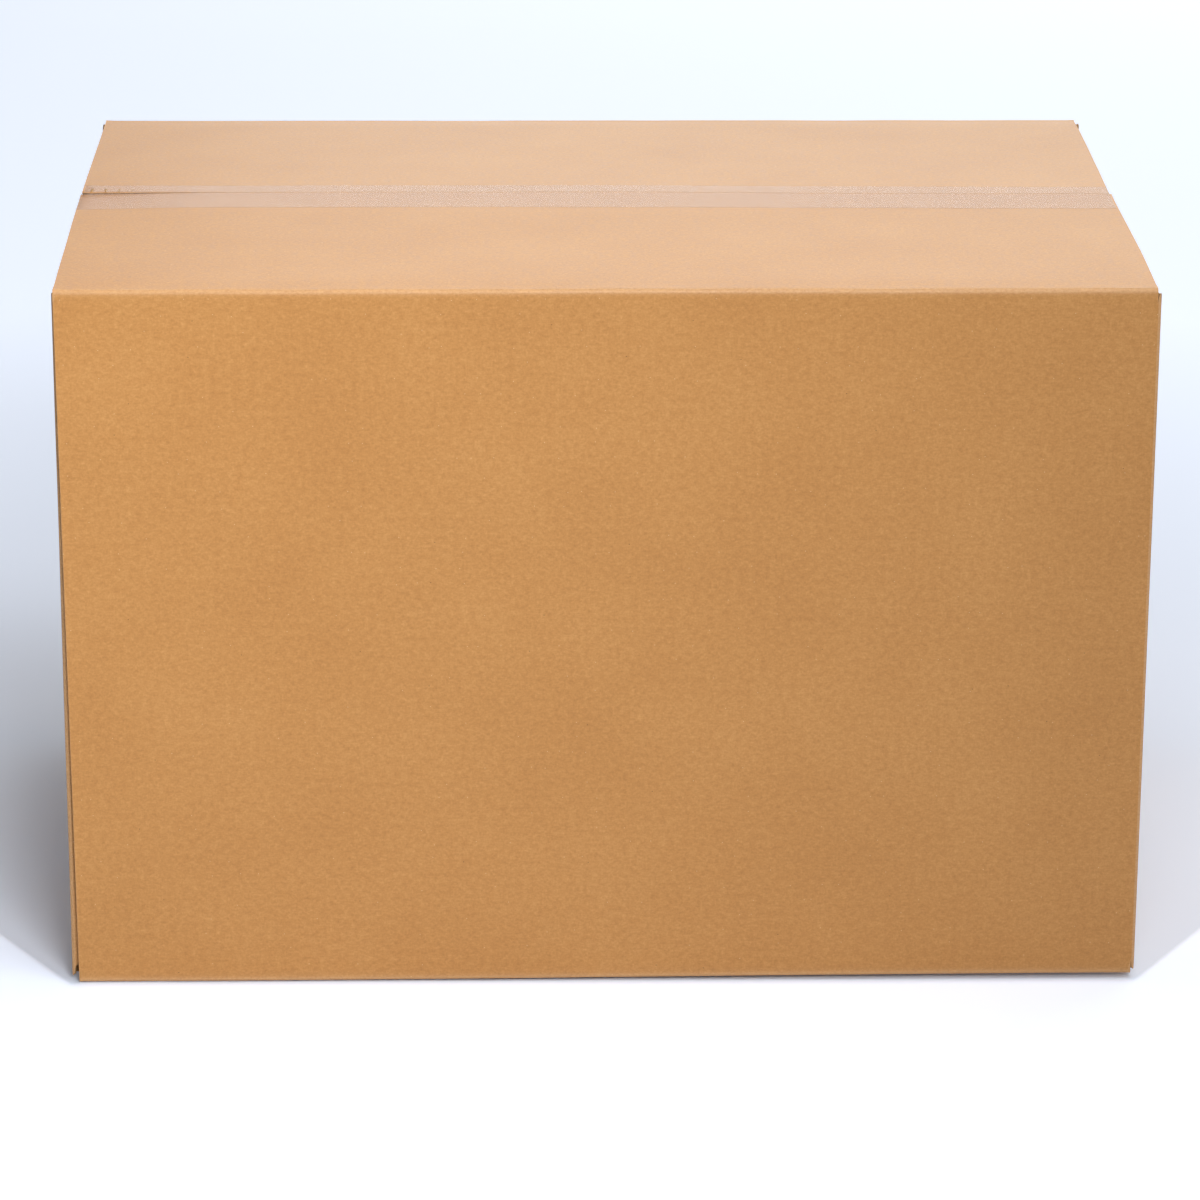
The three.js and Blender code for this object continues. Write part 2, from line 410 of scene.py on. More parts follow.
@dataclass
class FoldedBlank:
    """The carton: one blank folded up, with a glue tab inside the front panel."""

    outside: Outside
    board: Board
    warp: Warp
    long_flap_inset: float = 3.5 * MM
    short_flap_inset: float = 5.5 * MM
    flap_clearance: float = 0.3 * MM
    slot_margin: float = 0.5 * MM
    ear_reach: float = 6.0 * MM
    seam_gap: float = 0.6 * MM
    tab_width: float = 38 * MM
    tab_taper: float = 12 * MM
    tab_gap: float = 0.1 * MM
    edge_inset_top: float = 1.4 * MM
    edge_inset_bottom: float = 4.6 * MM
    edge_slant_reach: float = 60 * MM
    fold_steps: int = 8
    near_step: float = 1.4 * MM
    far_step: float = 11 * MM
    channel_depth: float = 2.2 * MM
    shallow_channel: float = 0.35 * MM
    raggedness: float = 0.5
    ragged_span: float = 14 * MM
    ragged_seed: float = 7.0
    columns: list[Column] = field(default_factory=list)
    rows: dict[str, list[Row]] = field(default_factory=dict)

    def build(self, liner: Material, cut_edge: Material) -> Object:
        """Makes the carton's mesh.

        Args:
            liner: Finish of the board's faces.
            cut_edge: Finish of its cut edges.

        Returns:
            The carton.
        """
        self.rows = {kind: self._rows(kind) for kind in ("long", "short")}
        self.columns = self._columns()
        mesh = bpy.data.meshes.new("folded_carton")
        sheet = self._outer_face()
        self._give_thickness(sheet)
        sheet.to_mesh(mesh)
        sheet.free()
        mesh.materials.append(liner)
        mesh.materials.append(cut_edge)
        return link_object("folded_carton", mesh)

    def short_fold_height(self) -> tuple[float, float]:
        """Gives the lowest and highest face of the short sides' folds, which lie inside the long ones."""
        room = self.board.thickness + self.flap_clearance
        return self.outside.underside + room, self.outside.crease - room

    def slot_ends(self) -> tuple[float, float]:
        """Gives the heights between which the four walls are joined at their corners."""
        low, high = self.short_fold_height()
        room = self.board.thickness + self.slot_margin
        return low + room, high - room

    def _rows(self, kind: str) -> list[Row]:
        """Lists the rows of a long or a short panel with its two flaps, from the bottom edge up.

        Args:
            kind: The word long or short.

        Returns:
            The rows. Both kinds have as many, and share the heights between the slot ends.
        """
        box = self.outside
        low, high = (box.underside, box.crease) if kind == "long" else self.short_fold_height()
        flap = (box.width - self.seam_gap) / 2
        rise = box.seam - box.crease if kind == "long" else 0.0
        corners = [Vector((flap, low)), Vector((0, low)), Vector((0, high)), Vector((flap, high + rise))]
        bottom_fold = self._fold(corners[0], corners[1], corners[2])
        top_fold = self._fold(corners[1], corners[2], corners[3])
        slot_low, slot_high = self.slot_ends()
        points: list[tuple[Vector, bool]] = []
        flap_run = (bottom_fold[0] - corners[0]).length
        for reach in graded(0.0, flap_run, self.near_step, self.far_step)[:-1]:
            points.append((corners[0].lerp(bottom_fold[0], reach / flap_run), False))
        points += [(point, True) for point in bottom_fold]
        heights = graded(slot_low, slot_high, self.near_step, self.far_step)
        points += [(Vector((0, height)), False) for height in heights]
        points += [(point, True) for point in top_fold]
        flap_run = (corners[3] - top_fold[-1]).length
        for reach in graded(0.0, flap_run, self.near_step, self.far_step)[1:]:
            points.append((top_fold[-1].lerp(corners[3], reach / flap_run), False))
        runs = np.cumsum([0.0, *[(b[0] - a[0]).length for a, b in zip(points, points[1:])]])
        wall = [i for i, (point, score) in enumerate(points) if point.x == 0 and not score]
        middle = np.interp((slot_low + slot_high) / 2, [points[i][0].y for i in wall], runs[wall])
        return [Row(p.x, p.y, float(run - middle), score) for (p, score), run in zip(points, runs)]

    def _fold(self, before: Vector, corner: Vector, after: Vector) -> list[Vector]:
        """Rounds a corner of a section, which turns to the right.

        Args:
            before: Point before the corner.
            corner: The corner.
            after: Point after it.

        Returns:
            Points along the round, with both ends.
        """
        arriving = (corner - before).normalized()
        leaving = (after - corner).normalized()
        turn = arriving.angle(leaving)
        radius = self.board.fold_radius
        start = corner - arriving * radius * math.tan(turn / 2)
        centre = start + Vector((arriving.y, -arriving.x)) * radius
        spoke = start - centre
        return [
            centre + Matrix.Rotation(-turn * step / self.fold_steps, 2) @ spoke
            for step in range(self.fold_steps + 1)
        ]

    def _columns(self) -> list[Column]:
        """Lists the columns from the front panel's cut edge round the carton to the free edge of the tab."""
        half_length, half_width = self.outside.length / 2, self.outside.width / 2
        tab_face = -half_width + self.board.thickness + self.tab_gap
        corners = [
            Vector((-half_length, -half_width)),
            Vector((half_length, -half_width)),
            Vector((half_length, half_width)),
            Vector((-half_length, half_width)),
            Vector((-half_length, tab_face)),
            Vector((-half_length + self.tab_width, tab_face)),
        ]
        names = ["front", "right", "back", "left", "tab"]
        radius = self.board.fold_radius
        columns: list[Column] = []
        run = 0.0
        for number, name in enumerate(names):
            start, end = corners[number], corners[number + 1]
            direction = (end - start).normalized()
            inward = Vector((-direction.y, direction.x))
            first = self.edge_inset_top if name == "front" else radius
            last = (end - start).length - (0.0 if name == "tab" else radius)
            flap_from, flap_to = self._flap_span(name, first, last)
            inner = [] if name == "tab" else graded(flap_from, flap_to, self.near_step, self.far_step)
            outer = graded(first, last, self.near_step, self.far_step) if name == "tab" else [first, last]
            stations = sorted({round(station, 7) for station in [*inner, *outer]})
            for station in stations:
                opens = name != "tab" and flap_from - SAME <= station < flap_to - SAME
                score = station in (stations[0], stations[-1]) and name != "front"
                place = start + direction * station
                columns.append(Column(run + station, place, inward, name, opens, score))
            run += last
            if name != "tab":
                run += self._turn_corner(columns, end, direction, run, name)
            run -= radius
        return columns

    def _flap_span(self, name: str, first: float, last: float) -> tuple[float, float]:
        """Gives where a panel's flaps start and end along it."""
        if name == "front":
            return first, last
        if name == "back":
            return self.long_flap_inset, last
        far_end = last if name == "left" else last + self.board.fold_radius - self.short_flap_inset
        return self.short_flap_inset, far_end

    def _turn_corner(
        self, columns: list[Column], corner: Vector, direction: Vector, run: float, name: str
    ) -> float:
        """Adds the columns inside a vertical fold.

        Args:
            columns: The list to add to.
            corner: The fold's sharp corner in plan.
            direction: Way along the panel before the fold.
            run: Length of the blank up to the fold.
            name: The panel before the fold.

        Returns:
            Length of board that the fold takes up.
        """
        radius = self.board.fold_radius
        inward = Vector((-direction.y, direction.x))
        centre = corner - direction * radius + inward * radius
        for step in range(1, self.fold_steps):
            angle = math.pi / 2 * step / self.fold_steps
            turned = Matrix.Rotation(angle, 2) @ inward
            place = centre - turned * radius
            ear = math.sqrt(math.sin(2 * angle))
            columns.append(Column(run + radius * angle, place, turned, name, False, True, ear))
        return radius * math.pi / 2

    def _kind(self, column: Column) -> str:
        """Gives the kind of rows that a column has."""
        return "long" if column.panel in ("front", "back") else "short"

    def _wall_rows(self) -> tuple[int, int]:
        """Gives the first and last row between the slot ends."""
        slot_low, slot_high = self.slot_ends()
        heights = [row.height for row in self.rows["long"]]
        flat = [i for i, row in enumerate(self.rows["long"]) if row.inset == 0 and not row.is_score]
        first = min(flat, key=lambda i: abs(heights[i] - slot_low))
        last = min(flat, key=lambda i: abs(heights[i] - slot_high))
        return first, last

    def _place(self, column: Column, row: Row) -> Vector:
        """Gives a grid point's place on the perfect folded carton."""
        flat = column.place + column.inward * row.inset
        slot_low, slot_high = self.slot_ends()
        height = row.height
        for slot_end, way in ((slot_low, -1), (slot_high, 1)):
            if math.isclose(row.height, slot_end, abs_tol=SAME):
                height += way * column.ear * self.ear_reach
        if column.panel == "front":
            share = height / self.outside.crease
            shift = (self.edge_inset_bottom - self.edge_inset_top) * (1 - share)
            reach = column.run - self.edge_inset_top
            flat = flat + Vector((shift * max(0.0, 1 - reach / self.edge_slant_reach) ** 2, 0))
        if column.panel == "tab":
            half = (slot_high - slot_low) / 2
            middle = (slot_high + slot_low) / 2
            reach = (column.place.x + self.outside.length / 2 - self.board.fold_radius) / self.tab_width
            height = middle + (height - middle) * (1 - max(reach, 0.0) * self.tab_taper / half)
        return Vector((flat.x, flat.y, height))

    def _outer_face(self) -> BMesh:
        """Builds the outer face of the folded and warped blank as one open sheet."""
        first_wall, last_wall = self._wall_rows()
        used: dict[tuple[int, int], int] = {}
        cells = []
        for i, column in enumerate(self.columns[:-1]):
            for j in range(len(self.rows["long"]) - 1):
                if column.opens or first_wall <= j < last_wall:
                    cells.append([(i, j), (i + 1, j), (i + 1, j + 1), (i, j + 1)])
        for cell in cells:
            for key in cell:
                used.setdefault(key, len(used))
        perfect = np.zeros((len(used), 3))
        for (i, j), number in used.items():
            column = self.columns[i]
            perfect[number] = self._place(column, self.rows[self._kind(column)][j])
        placed = self.warp.apply(perfect)
        sheet = bmesh.new()
        flat_uv = sheet.verts.layers.float_vector.new("blank_place")
        wear_and_highlight = sheet.verts.layers.float.new("crease_wear_and_highlight")
        scored = sheet.verts.layers.float.new("scored")
        for (i, j), number in used.items():
            column = self.columns[i]
            row = self.rows[self._kind(column)][j]
            vertex = sheet.verts.new(placed[number])
            vertex[flat_uv] = (column.run, row.run + UV_SPAN / 4, 0.0)
            vertex[scored] = 1.0 if column.is_score or row.is_score else 0.0
            # Folds get the paler mark, which is partly rubbed liner and partly a painted highlight along the
            # creases
            vertex[wear_and_highlight] = vertex[scored]
        sheet.verts.ensure_lookup_table()
        for cell in cells:
            sheet.faces.new([sheet.verts[used[key]] for key in cell])
        sheet.normal_update()
        return sheet

    def _give_thickness(self, sheet: BMesh) -> None:
        """Adds the inner face and the cut edges, with an open channel in the edges cut along the flutes.

        Args:
            sheet: The outer face, which becomes a closed body.
        """
        flat_uv = sheet.verts.layers.float_vector["blank_place"]
        wear_and_highlight = sheet.verts.layers.float["crease_wear_and_highlight"]
        scored = sheet.verts.layers.float["scored"]
        rim_edges = [edge for edge in sheet.edges if edge.is_boundary]
        outer_faces = list(sheet.faces)
        inner = {}
        for vertex in list(sheet.verts):
            depth = self.board.scored if vertex[scored] else self.board.thickness
            twin = sheet.verts.new(vertex.co - vertex.normal * depth)
            twin[flat_uv] = vertex[flat_uv]
            inner[vertex] = twin
        for face in outer_faces:
            sheet.faces.new([inner[vertex] for vertex in reversed(face.verts)])
        outwards, depths = self._rim_directions(rim_edges, flat_uv)
        profile = self._channel_profile()
        rims: dict[BMVert, list[BMVert]] = {}
        for vertex, out in outwards.items():
            across = inner[vertex].co - vertex.co
            chain = [vertex]
            for share, sunk in profile:
                place = vertex.co / self.ragged_span + Vector((share * 2, 0, self.ragged_seed))
                ragged = 1 + self.raggedness * noise.noise(place)
                point = sheet.verts.new(vertex.co + across * share - out * depths[vertex] * sunk * ragged)
                point[flat_uv] = vertex[flat_uv] + Vector((share * self.board.thickness, 0, 0))
                chain.append(point)
            chain.append(inner[vertex])
            rims[vertex] = chain
            # The cut rims get the same mark of rubbed liner and painted highlight
            vertex[wear_and_highlight] = 1.0
        for edge in rim_edges:
            start, end = self._in_face_order(edge)
            for step in range(len(profile) + 1):
                quad = [rims[end][step], rims[start][step], rims[start][step + 1], rims[end][step + 1]]
                face = sheet.faces.new(quad)
                face.material_index = 1
            edge.smooth = False
        sheet.normal_update()
        uv = sheet.loops.layers.uv.new("BlankUV")
        for face in sheet.faces:
            face.smooth = True
            for loop in face.loops:
                place = loop.vert[flat_uv]
                loop[uv].uv = (place[0] / UV_SPAN, place[1] / UV_SPAN)

    def _channel_profile(self) -> list[tuple[float, float]]:
        """Gives the section of a cut edge, as shares of the board's thickness and of the channel's depth."""
        lip = self.board.liner / self.board.thickness
        return [(lip, 0.0), (lip + 0.04, 0.7), (0.36, 1.0), (0.64, 0.94), (0.96 - lip, 0.66), (1 - lip, 0.0)]

    @staticmethod
    def _in_face_order(edge: BMEdge) -> tuple[BMVert, BMVert]:
        """Gives a rim edge's ends in the order in which its outer face names them."""
        loop = edge.link_loops[0]
        return loop.vert, loop.link_loop_next.vert

    def _rim_directions(
        self, rim_edges: list[BMEdge], flat_uv: BMLayerItem
    ) -> tuple[dict[BMVert, Vector], dict[BMVert, float]]:
        """Finds the way out of the sheet and the channel's depth at each vertex of the rim.

        Args:
            rim_edges: The open edges of the outer face.
            flat_uv: Layer that holds the places on the flat blank.

        Returns:
            Directions out of the sheet, and depths, both by vertex.
        """
        outwards: dict[BMVert, Vector] = {}
        along_flutes: dict[BMVert, list[bool]] = {}
        for edge in rim_edges:
            start, end = edge.verts
            face = edge.link_faces[0]
            out = (end.co - start.co).cross(face.normal).normalized()
            if out.dot(face.calc_center_median() - start.co) > 0:
                out = -out
            lies_along = abs(end[flat_uv][1] - start[flat_uv][1]) > abs(end[flat_uv][0] - start[flat_uv][0])
            for vertex in (start, end):
                outwards[vertex] = outwards.get(vertex, Vector((0, 0, 0))) + out
                along_flutes.setdefault(vertex, []).append(lies_along)
        depths = {}
        for vertex, flags in along_flutes.items():
            outwards[vertex].normalize()
            depths[vertex] = self.channel_depth if all(flags) else self.shallow_channel
        return outwards, depths

    def cut_line(self, panel: str, edge: FlapEdge) -> Cut:
        """Follows one cut edge of a panel's flap on the folded and warped carton.

        Args:
            panel: The panel that the flap hangs on.
            edge: Which edge of which flap.

        Returns:
            The edge as points on the middle of the board.
        """
        opening = [column for column in self.columns if column.panel == panel and column.opens]
        rows = self.rows[self._kind(opening[0])]
        flap_rows = self._flap_rows(rows, edge.top)
        if edge.side is None:
            pairs = [(column, rows[-1] if edge.top else rows[0]) for column in opening]
            inner_pairs = [(column, rows[-2] if edge.top else rows[1]) for column in opening]
        else:
            last = self.columns[self.columns.index(opening[-1]) + 1]
            column = opening[0] if edge.side < 0 else last
            neighbour = opening[1] if edge.side < 0 else opening[-1]
            pairs = [(column, row) for row in flap_rows]
            inner_pairs = [(neighbour, row) for row in flap_rows]
        perfect = np.array([self._place(column, row) for column, row in pairs])
        inside = np.array([self._place(column, row) for column, row in inner_pairs])
        placed, beside = self.warp.apply(perfect), self.warp.apply(inside)
        outwards = placed - beside
        outwards /= np.linalg.norm(outwards, axis=1)[:, None]
        tangents = np.gradient(placed, axis=0)
        across = np.cross(tangents, outwards)
        across /= np.linalg.norm(across, axis=1)[:, None]
        into_board = -np.sign(across[:, 2].sum()) if edge.top else np.sign(across[:, 2].sum())
        across *= into_board or 1.0
        return Cut(placed + across * self.board.thickness / 2, outwards, across)

    @staticmethod
    def _flap_rows(rows: list[Row], top: bool) -> list[Row]:
        """Gives the rows of the top or the bottom flap, without its fold."""
        flap = [row for row in rows if row.inset > 0 and not row.is_score]
        middle = (rows[0].height + rows[-1].height) / 2
        return [row for row in flap if (row.height > middle) == top]


@dataclass
class TapeStrip:
    """A strip of packing tape over a seam, folded down both short sides and torn on a toothed blade.

    The ends say how far the flaps under it stop short of the carton's ends: at the left for the near and the
    far flap, and at the right for both.
    """

    name: str
    outside: Outside
    warp: Warp
    is_top: bool
    middle: float
    left_end: tuple[float, float]
    right_end: float
    fold: float
    width: float = 50 * MM
    drop: float = 62 * MM
    film: float = 0.06 * MM
    lift: float = 0.05 * MM
    tooth_pitch: float = 3.1 * MM
    tooth_depth: float = 1.5 * MM
    bridge_sag: float = 0.5 * MM
    bridge_steps: int = 6
    step: float = 6 * MM
    seam_margin: float = 0.2 * MM
    wrinkle: float = 0.03 * MM
    wrinkle_start: float = 0.15
    wrinkle_stretch: float = 0.35
    wrinkle_noise: tuple[float, float] = (0.011, 31.0)
    seam_dip: float = 0.14 * MM
    seam_dip_reach: float = 1.2 * MM
    flat_margin: float = 8 * MM

    def build(self, finish: Material) -> Object:
        """Makes the strip.

        Args:
            finish: The tape's material.

        Returns:
            The strip as a closed film.
        """
        teeth = round(self.width / self.tooth_pitch)
        across = np.linspace(-self.width / 2, self.width / 2, 2 * teeth + 1) + self.middle
        if not np.any(np.abs(across) < self.seam_margin):
            across = np.sort(np.append(across, 0.0))
        perfect = []
        for number, y in enumerate(across):
            tooth = self.tooth_depth if number % 2 else 0.0
            perfect.append(self._path(y, tooth))
        count = len(perfect[0])
        points = np.array(perfect).reshape(-1, 3)
        placed = self.warp.apply(points)
        placed += self._wrinkles(points)
        sheet = bmesh.new()
        uv_place = sheet.verts.layers.float_vector.new("film_place")
        runs = np.cumsum([0.0, *np.linalg.norm(np.diff(np.array(perfect[0]), axis=0), axis=1)])
        for number, place in enumerate(placed):
            vertex = sheet.verts.new(place)
            vertex[uv_place] = (runs[number % count], across[number // count] + self.width, 0)
        sheet.verts.ensure_lookup_table()
        for i in range(len(across) - 1):
            for j in range(count - 1):
                a, b = i * count + j, (i + 1) * count + j
                quad = [a, b, b + 1, a + 1] if not self.is_top else [a, a + 1, b + 1, b]
                sheet.faces.new([sheet.verts[k] for k in quad])
        sheet.normal_update()
        self._close(sheet)
        uv = sheet.loops.layers.uv.new("FilmUV")
        for face in sheet.faces:
            face.smooth = True
            for loop in face.loops:
                loop[uv].uv = loop.vert[uv_place].xy
        mesh = bpy.data.meshes.new(self.name)
        sheet.to_mesh(mesh)
        sheet.free()
        mesh.materials.append(finish)
        return link_object(self.name, mesh)

    def _path(self, y: float, tooth: float) -> list[tuple[float, float, float]]:
        """Follows the film from its left end over the seam to its right end.

        Args:
            y: Place across the strip.
            tooth: How far the torn end is short here.

        Returns:
            Points on the film's inner face, on the perfect carton.
        """
        half = self.outside.length / 2
        sign = 1 if self.is_top else -1
        rise = (self.outside.seam - self.outside.crease) * (1 - abs(y) / (self.outside.width / 2))
        level = self.outside.crease + rise + self.lift if self.is_top else self.outside.underside - self.lift
        inset = self.left_end[0] if y < 0 else self.left_end[1]
        face = half + self.lift
        left, right = -half + inset - self.lift, half - self.right_end + self.lift
        end = (self.outside.crease if self.is_top else 0.0) - sign * (self.drop - tooth)
        bottom_left, fold_left = (-face, end), (-face, self.fold)
        points = [*self._straight(bottom_left, fold_left), *self._bridge(fold_left, (left, level))]
        points += self._straight((left, level), (right, level))[1:]
        points += self._bridge((right, level), (face, self.fold))[1:]
        points += self._straight((face, self.fold), (face, end))[1:]
        return [(x, y, z) for x, z in points]

    def _straight(self, start: tuple[float, float], end: tuple[float, float]) -> list[tuple[float, float]]:
        """Divides a straight stretch into steps. A tooth is too short to change how many a wall end has."""
        count = round(math.dist(start, end) / self.step)
        return [tuple(pair) for pair in np.linspace(start, end, count + 1)]

    def _bridge(self, start: tuple[float, float], end: tuple[float, float]) -> list[tuple[float, float]]:
        """Lets the film span between wall and flap, drawn in a little, and leaves out its first point."""
        points = []
        for share in np.linspace(0, 1, self.bridge_steps + 1)[1:]:
            x, z = np.array(start) * (1 - share) + np.array(end) * share
            sag = self.bridge_sag * math.sin(math.pi * share)
            points.append((x - math.copysign(sag, x), z))
        return points

    def _wrinkles(self, points: np.ndarray) -> np.ndarray:
        """Gives small lifts of the film off the board, and its dip into the seam."""
        waves = waviness(points * np.array([self.wrinkle_stretch, 1.0, 1.0]), *self.wrinkle_noise)
        lift = np.clip(waves - self.wrinkle_start, 0, 1) * self.wrinkle
        dip = -self.seam_dip * np.exp(-(points[:, 1] / self.seam_dip_reach) ** 2)
        offset = np.zeros_like(points)
        on_run = np.abs(points[:, 0]) < self.outside.length / 2 - self.flat_margin
        offset[:, 2] = (lift + dip) * on_run * (1 if self.is_top else 0)
        return offset

    def _close(self, sheet: BMesh) -> None:
        """Gives the film its thickness outwards from the board and closes its edges."""
        outer_faces = list(sheet.faces)
        rim = [edge for edge in sheet.edges if edge.is_boundary]
        place = sheet.verts.layers.float_vector["film_place"]
        twin = {}
        for vertex in list(sheet.verts):
            twin[vertex] = sheet.verts.new(vertex.co + vertex.normal * self.film)
            twin[vertex][place] = vertex[place]
        for edge in rim:
            loop = edge.link_loops[0]
            start, end = loop.vert, loop.link_loop_next.vert
            sheet.faces.new([start, end, twin[end], twin[start]])
        for face in outer_faces:
            sheet.faces.new([twin[vertex] for vertex in face.verts])
            face.normal_flip()
        bmesh.ops.recalc_face_normals(sheet, faces=sheet.faces)


@dataclass(frozen=True)
class KraftLiner:
    """Brown kraft linerboard: unbleached softwood fibres, pressed and slightly calendered.

    The eye sees a warm brown with a cloudy formation, short fibres lying mostly round the carton, and a few
    dark shives and pale fibre knots.

    A noise holds the size of its patches, their stretch along and across the blank, and its detail. Specks
    hold their spacing, their radius and the share of places without one. The shares of tone are of clouds,
    flocs, fibres and streaks, and those of relief of fibres, flocs, streaks and flutes.
    """

    name: str = "unbleached_kraft_liner"
    dark: str = "#B98045"
    middle: str = "#C78E4F"
    light: str = "#D39C5E"
    # Paler colour of rubbed creases, which also paints their highlight
    worn_and_highlit: str = "#DCB082"
    shive: str = "#6E4A28"
    knot: str = "#E4C699"
    stops: tuple[float, float, float] = (0.38, 0.51, 0.64)
    roughness: float = 0.42
    roughness_spread: tuple[float, float] = (-0.04, 0.05)
    gloss: float = 0.34
    wear_and_highlight_falloff: float = 6.0
    wear_and_highlight: float = 0.9
    relief_strength: float = 0.55
    relief_depth: float = 0.10 * MM
    clouds: tuple[float, tuple[float, float], int] = (90 * MM, (1, 1), 3)
    flocs: tuple[float, tuple[float, float], int] = (3.6 * MM, (0.85, 1), 2)
    fibres: tuple[float, tuple[float, float], int] = (1.4 * MM, (0.7, 1.2), 3)
    streaks: tuple[float, tuple[float, float], int] = (1.2 * MM, (1.2, 0.7), 3)
    tone_shares: tuple[float, ...] = (0.17, 0.26, 0.32, 0.25)
    relief_shares: tuple[float, ...] = (0.42, 0.30, 0.16, 0.12)
    shives: tuple[float, float, float] = (21 * MM, 0.34 * MM, 0.80)
    knots: tuple[float, float, float] = (9 * MM, 0.30 * MM, 0.74)

    def build(self) -> Material:
        """Makes the material.

        Returns:
            The liner's material, which reads the blank's own UV map.
        """
        material = new_material(self.name)
        tree = material.node_tree
        flat = add_node(tree, "ShaderNodeUVMap", {"uv_map": "BlankUV"}).outputs[0]
        blank = add_node(
            tree, "ShaderNodeMapping", inputs={"Vector": flat, "Scale": (UV_SPAN, UV_SPAN, 1)}
        ).outputs[0]
        clouds, flocs, fibres, streaks = (
            self._noise(tree, blank, *texture)
            for texture in (self.clouds, self.flocs, self.fibres, self.streaks)
        )
        tone = self._blend(tree, (clouds, flocs, fibres, streaks), self.tone_shares)
        ramp = add_node(tree, "ShaderNodeValToRGB", inputs={"Fac": tone})
        elements = ramp.color_ramp.elements
        elements[0].position, elements[0].color = self.stops[0], linear(self.dark)
        elements[1].position, elements[1].color = self.stops[2], linear(self.light)
        elements.new(self.stops[1]).color = linear(self.middle)
        # Lightens the folds and cut rims towards a paler colour: partly rubbed liner, partly a painted
        # highlight on the creases
        creases = add_node(tree, "ShaderNodeAttribute", {"attribute_name": "crease_wear_and_highlight"}).outputs["Fac"]
        rubbed_and_highlit = math_node(tree, "MULTIPLY", math_node(tree, "POWER", creases, self.wear_and_highlight_falloff), fibres)
        colour = ramp.outputs["Color"]
        for share, over in (
            (math_node(tree, "MULTIPLY", rubbed_and_highlit, self.wear_and_highlight), self.worn_and_highlit),
            (self._specks(tree, blank, *self.shives), self.shive),
            (self._specks(tree, blank, *self.knots), self.knot),
        ):
            colour = add_node(
                tree, "ShaderNodeMix", {"data_type": "RGBA"}, {0: share, 6: colour, 7: linear(over)}
            ).outputs[2]
        flutes = add_node(
            tree, "ShaderNodeTexWave", {"wave_type": "BANDS", "bands_direction": "X"},
            {"Vector": blank, "Scale": math.pi / 10 / Board.flute_pitch, "Distortion": 0.0},
        ).outputs["Fac"]
        relief = self._blend(tree, (fibres, flocs, streaks, flutes), self.relief_shares)
        bump = add_node(
            tree, "ShaderNodeBump",
            inputs={"Strength": self.relief_strength, "Distance": self.relief_depth, "Height": relief},
        ).outputs[0]
        shine = map_range(
            tree, flocs, NOISE_RANGE, tuple(self.roughness + change for change in self.roughness_spread)
        )
        finish_material(tree, {
            "Base Color": colour, "Roughness": shine, "IOR": 1.5,
            "Specular IOR Level": self.gloss, "Normal": bump,
        })
        return material

    @staticmethod
    def _noise(
        tree: NodeTree, place: NodeSocket,
        size: float, stretch: tuple[float, float], detail: int,
    ) -> NodeSocket:
        """Adds noise whose patches have a real size and are stretched along and across the blank."""
        mapped = add_node(
            tree, "ShaderNodeMapping", inputs={"Vector": place, "Scale": (*stretch, 1)}
        ).outputs[0]
        return add_node(
            tree, "ShaderNodeTexNoise",
            inputs={"Vector": mapped, "Scale": 1 / size, "Detail": detail, "Roughness": 0.6},
        ).outputs["Fac"]

    @staticmethod
    def _blend(
        tree: NodeTree, values: tuple[NodeSocket, ...], shares: tuple[float, ...]
    ) -> NodeSocket:
        """Adds up values, each by its share."""
        total: NodeSocket | float = 0.0
        for value, share in zip(values, shares):
            total = math_node(tree, "MULTIPLY_ADD", value, share, total)
        return total

    @staticmethod
    def _specks(
        tree: NodeTree, place: NodeSocket, spacing: float, radius: float, rarity: float
    ) -> NodeSocket:
        """Adds small soft specks, of which only some of the cells have one."""
        cells = add_node(
            tree, "ShaderNodeTexVoronoi", {"voronoi_dimensions": "2D"},
            {"Vector": place, "Scale": 1 / spacing},
        ).outputs
        near = map_range(tree, cells["Distance"], (0.4 * radius / spacing, radius / spacing), (1.0, 0.0))
        return math_node(tree, "MULTIPLY", near, math_node(tree, "GREATER_THAN", cells["Color"], rarity))


@dataclass(frozen=True)
class CutBoard:
    """Cut edge of corrugated board: torn liner fibres and the darker recycled fluting, dry and rough."""

    name: str = "cut_corrugated_edge"
    dark: str = "#A0744A"
    light: str = "#CDA672"
    stops: tuple[float, float] = (0.35, 0.65)
    fibre_size: float = 1.1 * MM
    relief_strength: float = 0.8
    relief_depth: float = 0.25 * MM
    roughness: float = 0.9

    def build(self) -> Material:
        """Makes the material.

        Returns:
            The cut edge's material.
        """
        material = new_material(self.name)
        tree = material.node_tree
        place = add_node(tree, "ShaderNodeTexCoord").outputs["Object"]
        torn = add_node(
            tree, "ShaderNodeTexNoise", inputs={"Vector": place, "Scale": 1 / self.fibre_size, "Detail": 4}
        ).outputs["Fac"]
        ramp = add_node(tree, "ShaderNodeValToRGB", inputs={"Fac": torn})
        for element, stop, colour in zip(ramp.color_ramp.elements, self.stops, (self.dark, self.light)):
            element.position, element.color = stop, linear(colour)
        bump = add_node(
            tree, "ShaderNodeBump",
            inputs={"Strength": self.relief_strength, "Distance": self.relief_depth, "Height": torn},
        ).outputs[0]
        finish_material(
            tree, {"Base Color": ramp.outputs["Color"], "Roughness": self.roughness, "Normal": bump}
        )
        return material


